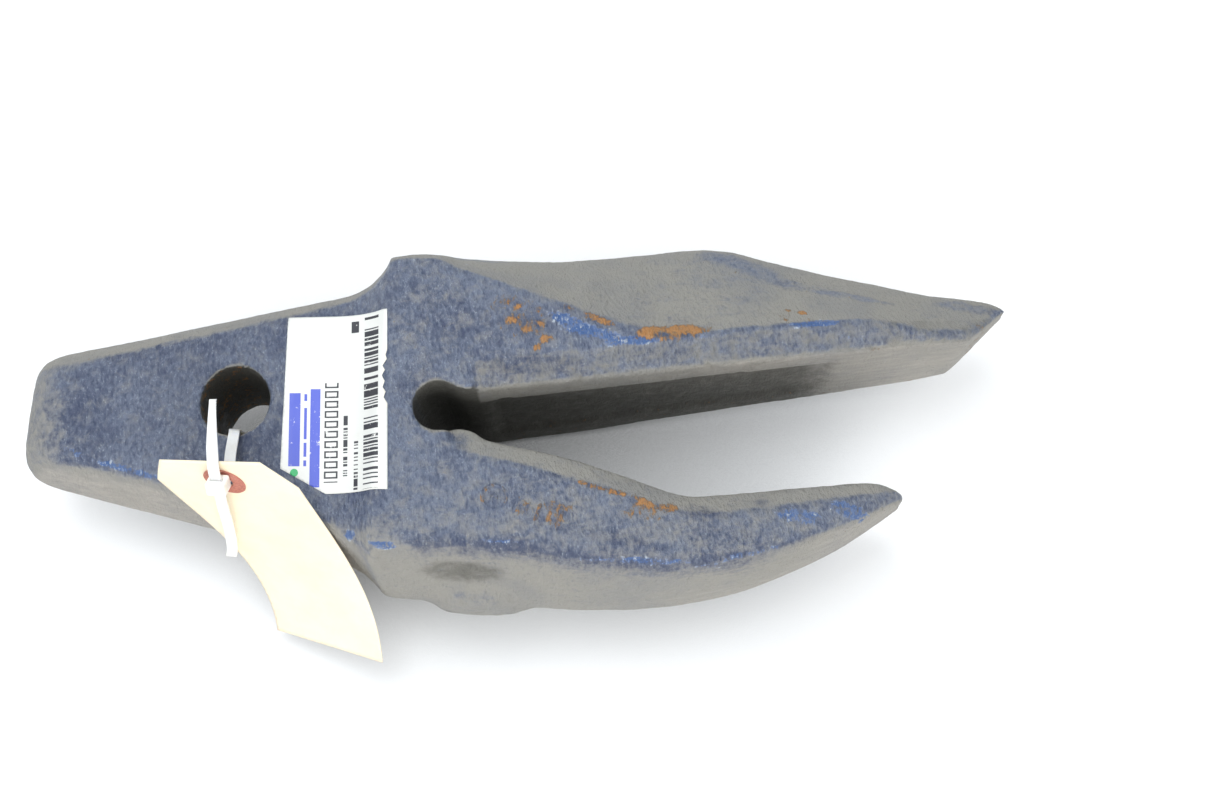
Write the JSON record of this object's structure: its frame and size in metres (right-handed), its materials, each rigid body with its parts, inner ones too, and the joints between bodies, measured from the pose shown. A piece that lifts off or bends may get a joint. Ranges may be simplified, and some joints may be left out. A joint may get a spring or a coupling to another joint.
{
  "type": "excavator bucket tooth adapter",
  "caption": "Weld-on two-strap tooth adapter for a bucket lip: tapered nose with a cross pin bore, forked straps, stock label and a hang tag on a cable tie.",
  "frame": {"origin": "on the lower side face, between the nose shoulder and the throat of the lip slot, level with neither strap seat: a point of the plane the casting lies on", "axes": "+X along the lip slot from the nose to the strap ends, +Y across the slot to the long strap, +Z across the width, from the lower side face to the upper one"},
  "size_m": [0.4621, 0.1861, 0.117],
  "materials": {
    "casting_paint": "satin dark blue-grey enamel over cast steel, dusty, rust at the ground edges",
    "label_paper": "white coated label stock",
    "tag_card": "manila card",
    "patch_fibre": "red-brown vulcanised fibre",
    "tie_nylon": "natural nylon, slightly translucent"
  },
  "bodies": {
    "casting": {"adapter_casting": "casting_paint", "part_label": "label_paper"},
    "tie": {"cable_tie": "tie_nylon"},
    "tag": {"hang_tag": "tag_card", "tag_patch_front": "patch_fibre", "tag_patch_back": "patch_fibre"}
  },
  "joints": [
    {"name": "tie_swing", "type": "hinge", "parent": "casting", "child": "tie", "pos_m": [-0.075, 0.0391, 0.05], "axis": [0, 0, 1], "range_deg": [-6, 0]},
    {"name": "tag_flap", "type": "hinge", "parent": "tie", "child": "tag", "pos_m": [-0.0772, -0.0022, 0.1006], "axis": [-0.154, -0.3399, -0.9278], "range_deg": [0, 5]}
  ]
}
